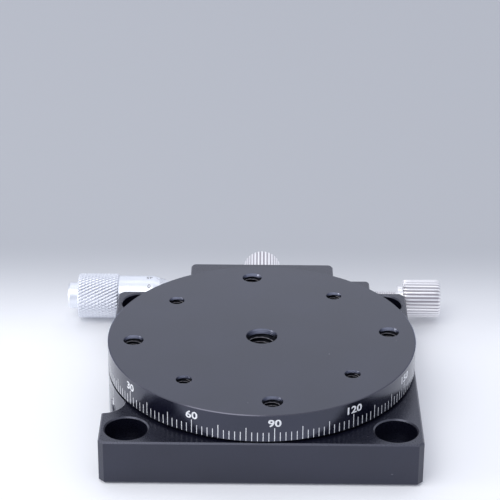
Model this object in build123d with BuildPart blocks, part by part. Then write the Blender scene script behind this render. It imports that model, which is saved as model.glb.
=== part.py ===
"""Manual rotation stage: a 60 mm turntable on a square base, with a tangent arm for fine adjustment.

Millimetres, +Z up. The origin is where the turning axis meets the underside of the base, +Y is towards
the tangent arm and the two screws that work it lie along X.
"""
import os
from math import cos, pi, radians, sin, sqrt

from build123d import *

os.makedirs("parts", exist_ok=True)

# The stage's nominal size: the width of the square base and the diameter of the turntable on it
stage_size = 60.0

# Base plate
base_height = 9.0
base_floor = 1.8
corner_chamfer = 1.0
top_edge_chamfer = 0.3
bottom_edge_chamfer = 0.5
base_bolt_inset = 5.0
base_bolt_radius = 2.25
counterbore_radius = 4.0
counterbore_depth = 4.4
counterbore_chamfer = 0.25

# Turntable and its hub
disc_thickness = 5.7
disc_gap = 0.3
disc_top_chamfer = 0.15
disc_bottom_chamfer = 0.2
dial_rest_angle = 4.7
hub_floor_gap = 0.3
centre_thread_radius = 3.0
outer_thread_radius = 2.0
outer_thread_rim = 5.0
inner_thread_radius = 1.5
inner_thread_rim = 7.5
thread_mouth = 0.28
thread_mouth_angle = 46.0

# Thin-section crossed-roller bearing between the base's post and the hub
bearing_bore_radius = 8.5
bearing_seat_height = 1.3
bearing_sink = 0.9
bearing_section = 4.5
bearing_ring_gap = 1.6
roller_radius = 1.1
roller_spacing = 1.2
post_bore_radius = 4.5
circlip_thickness = 0.6
circlip_depth = 0.45
circlip_land = 1.0
circlip_gap_angle = 36.0
clamp_plate_thickness = 0.8
clamp_plate_gap = 0.4
clamp_plate_screw_circle_radius = 6.6
clamp_plate_screw_count = 3
clamp_plate_screw_radius = 0.8
clamp_plate_screw_head_radius = 1.5
clamp_plate_screw_length = 4.0

# Tangent arm: a ring round the hub, a neck, and a finger under a cover tab
recess_wall = 7.5
recess_clearance = 0.7
arm_ring_width = 4.75
lower_washer_thickness = 0.8
upper_washer_thickness = 0.4
washer_inset = 0.3
neck_width = 10.0
fine_angle = 5.0
finger_left = -5.5
finger_right = 8.3
finger_inner_gap = 1.2
finger_bottom = 1.0
tab_width = 30.0
tab_reach = 8.1
tab_drop = 3.5
tab_thickness = 2.0
tab_corner_radius = 1.1
tab_chamfer = 0.25
tab_disc_gap = 0.4
strike_pin_radius = 1.5
strike_pin_length = 2.7
strike_pin_projection = 0.5

# Line that the micrometer and the locking thumb screw share, parallel to X
push_line_reach = 5.5
push_line_z = 5.0

# Micrometer head
holder_left = -14.8
holder_thickness = 5.4
holder_reach = 11.3
holder_tab_gap = 0.3
stem_radius = 3.0
sleeve_radius = 3.2
sleeve_left = -28.5
spindle_radius = 1.75
thimble_front = -20.4
thimble_bevel = 2.6
thimble_lip = 0.2
thimble_radius = 4.3
knurl_right = -30.4
knurl_left = -39.0
knurl_radius = 4.7
knurl_chamfer = 0.3
thimble_end_wall = 6.7
cap_radius = 2.75
cap_length = 2.2
cap_stub_length = 1.1
cap_chamfer = 0.4
set_screw_radius = 1.25

# Locking thumb screw and its bracket
bracket_left = 15.0
bracket_right = 22.9
bracket_reach = 8.45
bracket_top = 7.5
bracket_corner_radius = 0.8
lock_tip_radius = 1.2
lock_tip_length = 1.5
lock_collar_left = 28.85

# Thumb screws, both alike but for their length
thumb_thread_radius = 1.5
thumb_collar_radius = 2.55
thumb_collar_length = 1.0
thumb_head_radius = 4.0
thumb_head_length = 8.0
thumb_head_chamfer = 0.5
thumb_knurl_count = 32
thumb_knurl_depth = 0.22

# Clamp for the turntable, pressed on the hub through the neck
clamp_line_z = 6.25
clamp_shoe_length = 3.0
clamp_shoe_gap = 0.3
clamp_collar_gap = 0.35

# Bracket feet, let into the underside of the base
foot_length = 9.4
foot_underside = 0.2
foot_screw_radius = 1.25
foot_screw_head_radius = 2.35
foot_screw_length = 6.0
foot_screw_inset = 6.9
foot_screw_pitch = 4.8
foot_pocket_gap = 0.1

# Vernier plate, let into the left side of the base
vernier_depth = 4.0
vernier_end_gap = 0.38
notch_corner_radius = 4.0
vernier_underside = 0.2
vernier_screw_spacing = 18.0
vernier_screw_height = 3.6
vernier_screw_radius = 1.0
vernier_screw_head_radius = 1.9
vernier_screw_head_height = 1.1
vernier_screw_length = 4.5
vernier_seat_thickness = 1.4

# Fits
running_fit = 0.05
slot_margin = 1.2
key_share = 0.55

# Heights, radii and places that follow from the sizes above
base_size = stage_size
disc_radius = stage_size / 2
base_rear = base_size / 2
base_bolt_spacing = base_size - 2 * base_bolt_inset
tab_rear = base_rear + tab_reach
push_line_y = base_rear + push_line_reach
holder_rear = base_rear + holder_reach
bracket_rear = base_rear + bracket_reach
foot_front = base_rear - foot_length
foot_screw_first = base_rear - foot_screw_inset
disc_bottom = base_height + disc_gap
disc_top = disc_bottom + disc_thickness
outer_thread_circle_radius = disc_radius - outer_thread_rim
inner_thread_circle_radius = disc_radius - inner_thread_rim
hub_bottom = base_floor + hub_floor_gap
bearing_top = base_height - bearing_sink
bearing_bottom = base_floor + bearing_seat_height
bearing_width = bearing_top - bearing_bottom
bearing_middle = bearing_bottom + bearing_width / 2
groove_side = 2 * (roller_radius + running_fit)
roller_length = 2 * roller_radius - running_fit
bearing_land = (bearing_section - bearing_ring_gap) / 2
bearing_outer_radius = bearing_bore_radius + bearing_section
roller_circle_radius = bearing_bore_radius + bearing_section / 2
roller_count = int(2 * pi * roller_circle_radius / (2 * roller_radius * roller_spacing) / 2) * 2
clamp_plate_top = bearing_top + clamp_plate_thickness
pocket_top = clamp_plate_top + clamp_plate_gap
bearing_land_radius = bearing_bore_radius + bearing_land
pocket_radius = bearing_outer_radius - bearing_land
recess_radius = disc_radius - recess_wall
arm_ring_radius = recess_radius - recess_clearance
arm_bore_radius = arm_ring_radius - arm_ring_width
hub_radius = arm_bore_radius - running_fit
arm_bottom = base_floor + lower_washer_thickness + running_fit
arm_top = disc_bottom - running_fit - upper_washer_thickness
finger_front = base_rear + finger_inner_gap
tab_bottom = disc_top - tab_drop - tab_thickness
holder_right = holder_left + holder_thickness
holder_top = tab_bottom - holder_tab_gap
knurl_length = knurl_right - knurl_left
thimble_bore_radius = sleeve_radius + running_fit
spindle_bore_radius = spindle_radius + running_fit
strike_left = finger_left - strike_pin_projection
strike_right = finger_right + strike_pin_projection
spindle_tip = strike_left - running_fit
thread_bore_radius = thumb_thread_radius + running_fit
sweep = sin(radians(fine_angle)) * finger_front + slot_margin
slot_left = finger_left - sweep
slot_right = finger_right + sweep
shoe_front = hub_radius + clamp_shoe_gap
clamp_screw_tip = shoe_front + clamp_shoe_length + running_fit
clamp_collar_front = tab_rear + clamp_collar_gap
vernier_chord = disc_radius - vernier_depth
vernier_half_length = sqrt(disc_radius**2 - vernier_chord**2)

push_plane = Plane(origin=(0, push_line_y, push_line_z), x_dir=(1, 0, 0), z_dir=(0, -1, 0))
push_axis = Axis((0, push_line_y, push_line_z), (1, 0, 0))
foot_screw_rows = (foot_screw_first, foot_screw_first + foot_screw_pitch)
foot_sides = ((holder_left, holder_right), (bracket_left, bracket_right))
vernier_seat = vernier_chord + vernier_seat_thickness
vernier_screw_reach = vernier_screw_length - vernier_seat_thickness


def across(x, y=push_line_y, z=push_line_z):
    """A plane square to X at x, facing +X, with its origin on the line of the two screws."""
    return Plane(origin=(x, y, z), x_dir=(0, 1, 0), z_dir=(1, 0, 0))


def facing_rear(y, x=0.0, z=clamp_line_z):
    """A plane square to Y at y, facing +Y."""
    return Plane(origin=(x, y, z), x_dir=(1, 0, 0), z_dir=(0, 1, 0))


def profile_plane(end):
    """A plane through the axis of a turned piece: its own x is the radius, its own y the length."""
    return Plane(origin=end.origin, x_dir=end.x_dir, z_dir=-end.y_dir)


def flat_screw(face, shank_radius, head_radius, length):
    """A countersunk socket screw whose head is flush with face and points along its normal."""
    head_depth = head_radius - shank_radius
    with BuildPart() as screw:
        with BuildSketch(profile_plane(face)):
            Polygon((0, 0), (head_radius, 0), (shank_radius, -head_depth),
                    (shank_radius, -length), (0, -length), align=None)
        revolve(axis=Axis(face.origin, face.z_dir))
        with BuildSketch(face):
            RegularPolygon(head_radius * key_share, 6)
        extrude(amount=-head_depth, mode=Mode.SUBTRACT)
    return screw.part


def thumb_screw(tip, shank_length):
    """A knurled thumb screw with a collar, pointing along tip's normal from its tip to its head."""
    collar_end = shank_length + thumb_collar_length
    head_end = collar_end + thumb_head_length
    tip_radius = thumb_thread_radius - thumb_head_chamfer
    rim_radius = thumb_head_radius - thumb_head_chamfer
    with BuildPart() as screw:
        with BuildSketch(profile_plane(tip)):
            Polygon((0, 0), (tip_radius, 0), (thumb_thread_radius, thumb_head_chamfer),
                    (thumb_thread_radius, shank_length), (thumb_collar_radius, shank_length),
                    (thumb_collar_radius, collar_end), (rim_radius, collar_end),
                    (thumb_head_radius, collar_end + thumb_head_chamfer),
                    (thumb_head_radius, head_end - thumb_head_chamfer),
                    (rim_radius, head_end), (0, head_end), align=None)
        revolve(axis=Axis(tip.origin, tip.z_dir))
        # Straight knurl: square-cornered grooves, half of each lying outside the head
        with BuildSketch(tip.offset(collar_end)):
            with PolarLocations(thumb_head_radius, thumb_knurl_count):
                Rectangle(2 * thumb_knurl_depth, 2 * thumb_knurl_depth, rotation=45)
        extrude(amount=thumb_head_length, mode=Mode.SUBTRACT)
    return screw.part


# ---- Base plate: ears with counterbores, a round recess, a post for the bearing, a slot for the arm
with BuildPart() as base_plate:
    with BuildSketch() as outline:
        Rectangle(base_size, base_size)
        chamfer(outline.vertices(), corner_chamfer)
        # Notch for the vernier plate, with milled corners, open to the side
        notch_half = vernier_half_length + vernier_end_gap
        with Locations((-vernier_chord - notch_corner_radius, 0)):
            SlotCenterToCenter(2 * notch_half, 2 * notch_corner_radius, rotation=90, mode=Mode.SUBTRACT)
            Rectangle(base_size, 2 * (notch_half + notch_corner_radius), align=(Align.MAX, Align.CENTER),
                      mode=Mode.SUBTRACT)
    extrude(amount=base_height)
    chamfer(base_plate.faces().sort_by(Axis.Z)[-1].edges(), top_edge_chamfer)
    chamfer(base_plate.faces().sort_by(Axis.Z)[0].edges(), bottom_edge_chamfer)
    with BuildSketch(Plane.XY.offset(base_floor)):
        Circle(recess_radius)
    extrude(amount=base_height, mode=Mode.SUBTRACT)
    with BuildSketch(Plane.XY.offset(base_floor)):
        with Locations((slot_left, hub_radius)):
            Rectangle(slot_right - slot_left, base_size, align=(Align.MIN, Align.MIN))
    extrude(amount=base_height, mode=Mode.SUBTRACT)
    with BuildSketch(Plane.XY.offset(base_floor)):
        Circle(bearing_land_radius)
    extrude(amount=bearing_seat_height)
    with BuildSketch(Plane.XY.offset(bearing_bottom)):
        Circle(bearing_bore_radius)
    extrude(amount=bearing_width)
    with BuildSketch():
        Circle(post_bore_radius)
    extrude(amount=bearing_top, mode=Mode.SUBTRACT)
    with BuildSketch(Plane.XY.offset(bearing_top)):
        with PolarLocations(clamp_plate_screw_circle_radius, clamp_plate_screw_count):
            Circle(clamp_plate_screw_radius)
    extrude(amount=clamp_plate_thickness - clamp_plate_screw_length, mode=Mode.SUBTRACT)
    with Locations(Plane.XY.offset(base_height)):
        with GridLocations(base_bolt_spacing, base_bolt_spacing, 2, 2):
            Hole(base_bolt_radius)
            CounterSinkHole(counterbore_radius, counterbore_radius + counterbore_chamfer,
                            counterbore_depth, 90)
    # Screw holes for the vernier plate
    with BuildSketch(across(-vernier_chord, 0, vernier_screw_height)):
        with GridLocations(vernier_screw_spacing, 1, 2, 1):
            Circle(vernier_screw_radius)
    extrude(amount=vernier_screw_reach, mode=Mode.SUBTRACT)
    # Pockets under the rear edge for the two bracket feet, and the holes for their screws
    for left, right in foot_sides:
        with BuildSketch():
            with Locations((left - foot_pocket_gap, foot_front - foot_pocket_gap)):
                Rectangle(right - left + 2 * foot_pocket_gap, base_size, align=(Align.MIN, Align.MIN))
        extrude(amount=base_floor, mode=Mode.SUBTRACT)
        with BuildSketch():
            for row in foot_screw_rows:
                with Locations(((left + right) / 2, row)):
                    Circle(foot_screw_radius)
        extrude(amount=foot_underside + foot_screw_length, mode=Mode.SUBTRACT)
base_plate.part.label = "base_plate"
export_step(base_plate.part, "parts/base_plate.step")

# ---- Vernier plate: a segment of the same circle as the turntable, so that the two scales meet flush
with BuildPart() as vernier_plate:
    with BuildSketch(Plane.XY.offset(vernier_underside)):
        Circle(disc_radius)
        with Locations((-vernier_chord, 0)):
            Rectangle(2 * disc_radius, 2 * disc_radius, align=(Align.MAX, Align.CENTER), mode=Mode.INTERSECT)
    extrude(amount=base_height - vernier_underside)
    with BuildSketch(across(-vernier_seat, 0, vernier_screw_height)):
        with GridLocations(vernier_screw_spacing, 1, 2, 1):
            Circle(vernier_screw_head_radius + running_fit)
    extrude(amount=-vernier_depth, mode=Mode.SUBTRACT)
    with BuildSketch(across(-vernier_seat, 0, vernier_screw_height)):
        with GridLocations(vernier_screw_spacing, 1, 2, 1):
            Circle(vernier_screw_radius + running_fit)
    extrude(amount=vernier_seat_thickness, mode=Mode.SUBTRACT)
vernier_plate.part.label = "vernier_plate"
export_step(vernier_plate.part, "parts/vernier_plate.step")

with BuildPart() as vernier_screws:
    head_end = across(-vernier_seat - vernier_screw_head_height, 0, vernier_screw_height)
    with BuildSketch(across(-vernier_seat, 0, vernier_screw_height)):
        with GridLocations(vernier_screw_spacing, 1, 2, 1):
            Circle(vernier_screw_head_radius)
    extrude(amount=-vernier_screw_head_height)
    with BuildSketch(across(-vernier_seat, 0, vernier_screw_height)):
        with GridLocations(vernier_screw_spacing, 1, 2, 1):
            Circle(vernier_screw_radius)
    extrude(amount=vernier_screw_length)
    with BuildSketch(head_end):
        with GridLocations(vernier_screw_spacing, 1, 2, 1):
            RegularPolygon(vernier_screw_radius * key_share * 1.4, 6)
    extrude(amount=vernier_screw_head_height * 0.8, mode=Mode.SUBTRACT)
vernier_screws.part.label = "vernier_screws"
export_step(vernier_screws.part, "parts/vernier_screws.step")

# ---- Crossed-roller bearing: two rings with V grooves, rollers leaning in and out by turns
for name, land_edge, side in (("bearing_inner_ring", bearing_bore_radius, Align.MIN),
                              ("bearing_outer_ring", bearing_outer_radius, Align.MAX)):
    with BuildPart() as ring:
        with BuildSketch(Plane.XZ):
            with Locations((land_edge, bearing_bottom)):
                Rectangle(bearing_land, bearing_width, align=(side, Align.MIN))
            with Locations((roller_circle_radius, bearing_middle)):
                Rectangle(groove_side, groove_side, rotation=45, mode=Mode.SUBTRACT)
        revolve(axis=Axis.Z)
    ring.part.label = name
    export_step(ring.part, f"parts/{name}.step")

with BuildPart() as bearing_rollers:
    for index in range(roller_count):
        lean = 45 if index % 2 else -45
        station = Location((0, 0, bearing_middle), (0, 0, index * 360 / roller_count))
        with Locations(station * Location((roller_circle_radius, 0, 0), (0, lean, 0))):
            Cylinder(roller_radius, roller_length)
bearing_rollers.part.label = "bearing_rollers"
export_step(bearing_rollers.part, "parts/bearing_rollers.step")

# ---- Clamp plate that holds the inner ring down on the post
with BuildPart() as bearing_clamp_plate:
    with BuildSketch(Plane.XY.offset(bearing_top)):
        Circle(bearing_land_radius - running_fit)
        Circle(post_bore_radius, mode=Mode.SUBTRACT)
    extrude(amount=clamp_plate_thickness)
    with Locations(Plane.XY.offset(clamp_plate_top)):
        with PolarLocations(clamp_plate_screw_circle_radius, clamp_plate_screw_count):
            CounterSinkHole(clamp_plate_screw_radius, clamp_plate_screw_head_radius,
                            counter_sink_angle=90)
bearing_clamp_plate.part.label = "bearing_clamp_plate"
export_step(bearing_clamp_plate.part, "parts/bearing_clamp_plate.step")

with BuildPart() as bearing_clamp_screws:
    with PolarLocations(clamp_plate_screw_circle_radius, clamp_plate_screw_count):
        add(flat_screw(Plane.XY.offset(clamp_plate_top), clamp_plate_screw_radius,
                       clamp_plate_screw_head_radius, clamp_plate_screw_length))
bearing_clamp_screws.part.label = "bearing_clamp_screws"
export_step(bearing_clamp_screws.part, "parts/bearing_clamp_screws.step")

# ---- Circlip in the hub's bore, under the outer ring
circlip_groove_radius = bearing_outer_radius + circlip_depth
with BuildPart() as hub_circlip:
    with BuildSketch(Plane.XY.offset(bearing_bottom - circlip_thickness)):
        Circle(circlip_groove_radius - running_fit)
        Circle(bearing_outer_radius - circlip_land, mode=Mode.SUBTRACT)
        half_gap = circlip_gap_angle / 2
        far = 2 * bearing_outer_radius
        Polygon((0, 0), (far * cos(radians(half_gap)), far * sin(radians(half_gap))),
                (far * cos(radians(half_gap)), -far * sin(radians(half_gap))),
                align=None, mode=Mode.SUBTRACT)
    extrude(amount=circlip_thickness)
hub_circlip.part.label = "hub_circlip"
export_step(hub_circlip.part, "parts/hub_circlip.step")

# ---- Turntable: the engraved disc with its hub, turned a few degrees off its zero
with BuildPart() as top_disc:
    with BuildSketch(Plane.XZ):
        Polygon((0, pocket_top), (pocket_radius, pocket_top), (pocket_radius, bearing_top),
                (bearing_outer_radius, bearing_top), (bearing_outer_radius, bearing_bottom),
                (circlip_groove_radius, bearing_bottom),
                (circlip_groove_radius, bearing_bottom - circlip_thickness),
                (bearing_outer_radius, bearing_bottom - circlip_thickness),
                (bearing_outer_radius, hub_bottom), (hub_radius, hub_bottom),
                (hub_radius, disc_bottom), (disc_radius - disc_bottom_chamfer, disc_bottom),
                (disc_radius, disc_bottom + disc_bottom_chamfer), (disc_radius, disc_top - disc_top_chamfer),
                (disc_radius - disc_top_chamfer, disc_top), (0, disc_top), align=None)
    revolve(axis=Axis.Z)
    with Locations(Plane.XY.offset(disc_top)):
        CounterSinkHole(centre_thread_radius, centre_thread_radius + thread_mouth,
                        counter_sink_angle=thread_mouth_angle)
        with PolarLocations(outer_thread_circle_radius, 4, start_angle=dial_rest_angle):
            CounterSinkHole(outer_thread_radius, outer_thread_radius + thread_mouth,
                            counter_sink_angle=thread_mouth_angle)
        with PolarLocations(inner_thread_circle_radius, 4, start_angle=dial_rest_angle + 45):
            CounterSinkHole(inner_thread_radius, inner_thread_radius + thread_mouth,
                            counter_sink_angle=thread_mouth_angle)
top_disc.part.label = "top_disc"
export_step(top_disc.part, "parts/top_disc.step")

# ---- Tangent arm
with BuildPart() as tangent_arm:
    with BuildSketch(Plane.XY.offset(arm_bottom)):
        Circle(arm_ring_radius)
        Rectangle(neck_width, finger_front + running_fit, align=(Align.CENTER, Align.MIN))
    extrude(amount=arm_top - arm_bottom)
    with BuildSketch(Plane.XY.offset(finger_bottom)):
        with Locations((finger_left, finger_front)):
            Rectangle(finger_right - finger_left, tab_rear - finger_front, align=(Align.MIN, Align.MIN))
    extrude(amount=tab_bottom - finger_bottom)
    with BuildSketch(Plane.XY.offset(tab_bottom)) as tab:
        Rectangle(tab_width, tab_rear, align=(Align.CENTER, Align.MIN))
        fillet(tab.vertices().group_by(Axis.Y)[-1], tab_corner_radius)
        Circle(disc_radius + tab_disc_gap, mode=Mode.SUBTRACT)
    extrude(amount=tab_thickness)
    chamfer(tangent_arm.faces().sort_by(Axis.Z)[-1].edges(), tab_chamfer)
    with BuildSketch(Plane.XY.offset(arm_bottom)):
        Circle(arm_bore_radius)
    extrude(amount=arm_top, mode=Mode.SUBTRACT)
    # Tapped bore of the clamp screw, open to the hub
    with BuildSketch(facing_rear(tab_rear)):
        Circle(thread_bore_radius)
    extrude(amount=-(tab_rear - hub_radius / 2), mode=Mode.SUBTRACT)
    # Blind seats of the two strike pins
    with BuildSketch(across(finger_left)):
        Circle(strike_pin_radius)
    extrude(amount=strike_pin_length, mode=Mode.SUBTRACT)
    with BuildSketch(across(finger_right)):
        Circle(strike_pin_radius)
    extrude(amount=-strike_pin_length, mode=Mode.SUBTRACT)
tangent_arm.part.label = "tangent_arm"
export_step(tangent_arm.part, "parts/tangent_arm.step")

# ---- Hardened pins with ball ends, where the two screws push on the finger
with BuildPart() as strike_pins:
    for tip, inward in ((strike_left, 1), (strike_right, -1)):
        with BuildSketch(push_plane):
            centre = tip + inward * strike_pin_radius
            seat = tip + inward * (strike_pin_projection + strike_pin_length)
            with Locations((centre, 0)):
                Circle(strike_pin_radius)
            Polygon((centre, -strike_pin_radius), (seat, -strike_pin_radius), (seat, strike_pin_radius),
                    (centre, strike_pin_radius), align=None)
            with Locations((centre, 0)):
                Rectangle(4 * strike_pin_length, 2 * strike_pin_radius, align=(Align.CENTER, Align.MAX),
                          mode=Mode.SUBTRACT)
        revolve(axis=push_axis)
strike_pins.part.label = "strike_pins"
export_step(strike_pins.part, "parts/strike_pins.step")

# ---- Friction washers above and below the arm's ring
for name, washer_bottom, thickness in (("lower_washer", base_floor, lower_washer_thickness),
                                       ("upper_washer", arm_top, upper_washer_thickness)):
    with BuildPart() as washer:
        with BuildSketch(Plane.XY.offset(washer_bottom)):
            Circle(arm_ring_radius - washer_inset)
            Circle(hub_radius + washer_inset, mode=Mode.SUBTRACT)
        extrude(amount=thickness)
    washer.part.label = name
    export_step(washer.part, f"parts/{name}.step")

# ---- Coarse clamp: a brass shoe in the arm's bore and the thumb screw that presses it on the hub
with BuildPart() as clamp_shoe:
    with BuildSketch(facing_rear(0)):
        Circle(thumb_thread_radius)
    extrude(amount=shoe_front + clamp_shoe_length)
    with BuildSketch():
        Circle(shoe_front)
    extrude(amount=disc_top, mode=Mode.SUBTRACT)
clamp_shoe.part.label = "clamp_shoe"
export_step(clamp_shoe.part, "parts/clamp_shoe.step")

clamp_screw = thumb_screw(facing_rear(clamp_screw_tip), clamp_collar_front - clamp_screw_tip)
clamp_screw.label = "clamp_screw"
export_step(clamp_screw, "parts/clamp_screw.step")

# ---- Micrometer holder: an upright block on a foot, bored for the stem and tapped for its set screw
with BuildPart() as micrometer_holder:
    with BuildSketch(Plane.XY.offset(foot_underside)) as upright:
        with Locations((holder_left, base_rear)):
            Rectangle(holder_thickness, holder_rear - base_rear, align=(Align.MIN, Align.MIN))
        fillet(upright.vertices().group_by(Axis.Y)[-1], bracket_corner_radius)
    extrude(amount=holder_top - foot_underside)
    with BuildSketch(Plane.XY.offset(foot_underside)):
        with Locations((holder_left, foot_front)):
            Rectangle(holder_thickness, base_rear - foot_front, align=(Align.MIN, Align.MIN))
    extrude(amount=base_floor - foot_underside)
    with BuildSketch(across(holder_left)):
        Circle(stem_radius)
    extrude(amount=holder_thickness, mode=Mode.SUBTRACT)
    with BuildSketch(facing_rear(push_line_y, (holder_left + holder_right) / 2, push_line_z)):
        Circle(set_screw_radius)
    extrude(amount=holder_rear - push_line_y, mode=Mode.SUBTRACT)
    for row in foot_screw_rows:
        with Locations(Plane(((holder_left + holder_right) / 2, row, foot_underside), z_dir=(0, 0, -1))):
            CounterSinkHole(foot_screw_radius, foot_screw_head_radius, base_floor, 90)
micrometer_holder.part.label = "micrometer_holder"
export_step(micrometer_holder.part, "parts/micrometer_holder.step")

set_screw_length = holder_rear - push_line_y - stem_radius - running_fit
with BuildPart() as stem_set_screw:
    end_face = facing_rear(holder_rear - running_fit, (holder_left + holder_right) / 2, push_line_z)
    with BuildSketch(end_face):
        Circle(set_screw_radius)
    extrude(amount=running_fit - set_screw_length)
    with BuildSketch(end_face):
        RegularPolygon(set_screw_radius * key_share, 6)
    extrude(amount=-set_screw_length / 2, mode=Mode.SUBTRACT)
stem_set_screw.part.label = "stem_set_screw"
export_step(stem_set_screw.part, "parts/stem_set_screw.step")

# ---- Locking bracket: the same foot, a lower upright, tapped for the thumb screw
with BuildPart() as lock_bracket:
    with BuildSketch(Plane.XY.offset(foot_underside)) as upright:
        with Locations((bracket_left, base_rear)):
            Rectangle(bracket_right - bracket_left, bracket_rear - base_rear, align=(Align.MIN, Align.MIN))
        fillet(upright.vertices().group_by(Axis.Y)[-1], bracket_corner_radius)
    extrude(amount=bracket_top - foot_underside)
    chamfer(lock_bracket.faces().sort_by(Axis.Z)[-1].edges().group_by(Axis.Y)[1:], tab_chamfer)
    with BuildSketch(Plane.XY.offset(foot_underside)):
        with Locations((bracket_left, foot_front)):
            Rectangle(bracket_right - bracket_left, base_rear - foot_front, align=(Align.MIN, Align.MIN))
    extrude(amount=base_floor - foot_underside)
    with BuildSketch(across(bracket_left)):
        Circle(thread_bore_radius)
    extrude(amount=bracket_right - bracket_left, mode=Mode.SUBTRACT)
    for row in foot_screw_rows:
        with Locations(Plane(((bracket_left + bracket_right) / 2, row, foot_underside), z_dir=(0, 0, -1))):
            CounterSinkHole(foot_screw_radius, foot_screw_head_radius, base_floor, 90)
lock_bracket.part.label = "lock_bracket"
export_step(lock_bracket.part, "parts/lock_bracket.step")

# ---- Flat-head screws that come up through the feet into the base
for name, (left, right) in zip(("holder_screws", "bracket_screws"), foot_sides):
    with BuildPart() as foot_screws:
        for row in foot_screw_rows:
            head_face = Plane(((left + right) / 2, row, foot_underside), z_dir=(0, 0, -1))
            add(flat_screw(head_face, foot_screw_radius, foot_screw_head_radius, foot_screw_length))
    foot_screws.part.label = name
    export_step(foot_screws.part, f"parts/{name}.step")

# ---- Micrometer: sleeve with its stem, spindle, thimble and end cap, all turned on the push line
with BuildPart() as micrometer_sleeve:
    with BuildSketch(push_plane):
        Polygon((holder_right, spindle_bore_radius), (holder_right, stem_radius), (holder_left, stem_radius),
                (holder_left, sleeve_radius), (sleeve_left, sleeve_radius),
                (sleeve_left, spindle_bore_radius), align=None)
    revolve(axis=push_axis)
micrometer_sleeve.part.label = "micrometer_sleeve"
export_step(micrometer_sleeve.part, "parts/micrometer_sleeve.step")

cap_stub_end = knurl_left + cap_stub_length
spindle_end = cap_stub_end + running_fit
with BuildPart() as micrometer_spindle:
    with BuildSketch(push_plane):
        Polygon((spindle_tip, 0), (spindle_tip, spindle_radius - knurl_chamfer),
                (spindle_tip - knurl_chamfer, spindle_radius), (spindle_end, spindle_radius),
                (spindle_end, 0), align=None)
    revolve(axis=push_axis)
micrometer_spindle.part.label = "micrometer_spindle"
export_step(micrometer_spindle.part, "parts/micrometer_spindle.step")

thimble_back = thimble_front - thimble_bevel
thimble_inner_end = knurl_left + thimble_end_wall
with BuildPart() as micrometer_thimble:
    with BuildSketch(push_plane):
        Polygon((thimble_front, thimble_bore_radius), (thimble_front, thimble_bore_radius + thimble_lip),
                (thimble_back, thimble_radius), (knurl_right, thimble_radius),
                (knurl_right, knurl_radius - knurl_chamfer), (knurl_right - knurl_chamfer, knurl_radius),
                (knurl_left + knurl_chamfer, knurl_radius), (knurl_left, knurl_radius - knurl_chamfer),
                (knurl_left, spindle_bore_radius), (thimble_inner_end, spindle_bore_radius),
                (thimble_inner_end, thimble_bore_radius), align=None)
    revolve(axis=push_axis)
micrometer_thimble.part.label = "micrometer_thimble"
export_step(micrometer_thimble.part, "parts/micrometer_thimble.step")

cap_end = knurl_left - cap_length
with BuildPart() as micrometer_end_cap:
    with BuildSketch(push_plane):
        Polygon((cap_end, 0), (cap_end, cap_radius - cap_chamfer), (cap_end + cap_chamfer, cap_radius),
                (knurl_left, cap_radius), (knurl_left, spindle_bore_radius),
                (cap_stub_end, spindle_bore_radius), (cap_stub_end, 0), align=None)
    revolve(axis=push_axis)
micrometer_end_cap.part.label = "micrometer_end_cap"
export_step(micrometer_end_cap.part, "parts/micrometer_end_cap.step")

# ---- Locking screw and the brass tip that swivels on its end
lock_tip_front = strike_right + running_fit
lock_screw_tip = lock_tip_front + lock_tip_length + running_fit
with BuildPart() as lock_tip:
    with BuildSketch(across(lock_tip_front)):
        Circle(lock_tip_radius)
    extrude(amount=lock_tip_length)
lock_tip.part.label = "lock_tip"
export_step(lock_tip.part, "parts/lock_tip.step")

lock_screw = thumb_screw(across(lock_screw_tip), lock_collar_left - lock_screw_tip)
lock_screw.label = "lock_screw"
export_step(lock_screw, "parts/lock_screw.step")
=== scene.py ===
import math
import bpy
import numpy as np
from mathutils import Matrix, Vector


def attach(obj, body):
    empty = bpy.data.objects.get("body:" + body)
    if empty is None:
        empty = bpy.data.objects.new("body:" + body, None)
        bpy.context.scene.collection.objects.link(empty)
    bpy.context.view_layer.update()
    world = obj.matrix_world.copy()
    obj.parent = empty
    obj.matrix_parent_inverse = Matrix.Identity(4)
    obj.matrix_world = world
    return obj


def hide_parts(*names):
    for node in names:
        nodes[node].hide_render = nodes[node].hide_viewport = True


# Looks of a 60 mm rotation stage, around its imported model. Metres, +Z up, the dial turns about Z.
mm = 0.001
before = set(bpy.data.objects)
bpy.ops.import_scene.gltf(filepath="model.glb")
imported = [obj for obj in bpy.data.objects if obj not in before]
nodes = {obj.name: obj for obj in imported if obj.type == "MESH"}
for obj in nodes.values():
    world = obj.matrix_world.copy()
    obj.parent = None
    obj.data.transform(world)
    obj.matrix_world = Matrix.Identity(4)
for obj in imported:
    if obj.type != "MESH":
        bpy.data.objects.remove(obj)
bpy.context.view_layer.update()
print("frame loaded:", len(nodes), "nodes")


# Camera
cameraSet = {"target": (-2.747, 68.188, 0.0), "distance": 452.54, "elevation": 26.295,
             "azimuth": 0.288, "roll": 0.371, "focalPixels": 1971.76, "imagePixels": 500}


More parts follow.
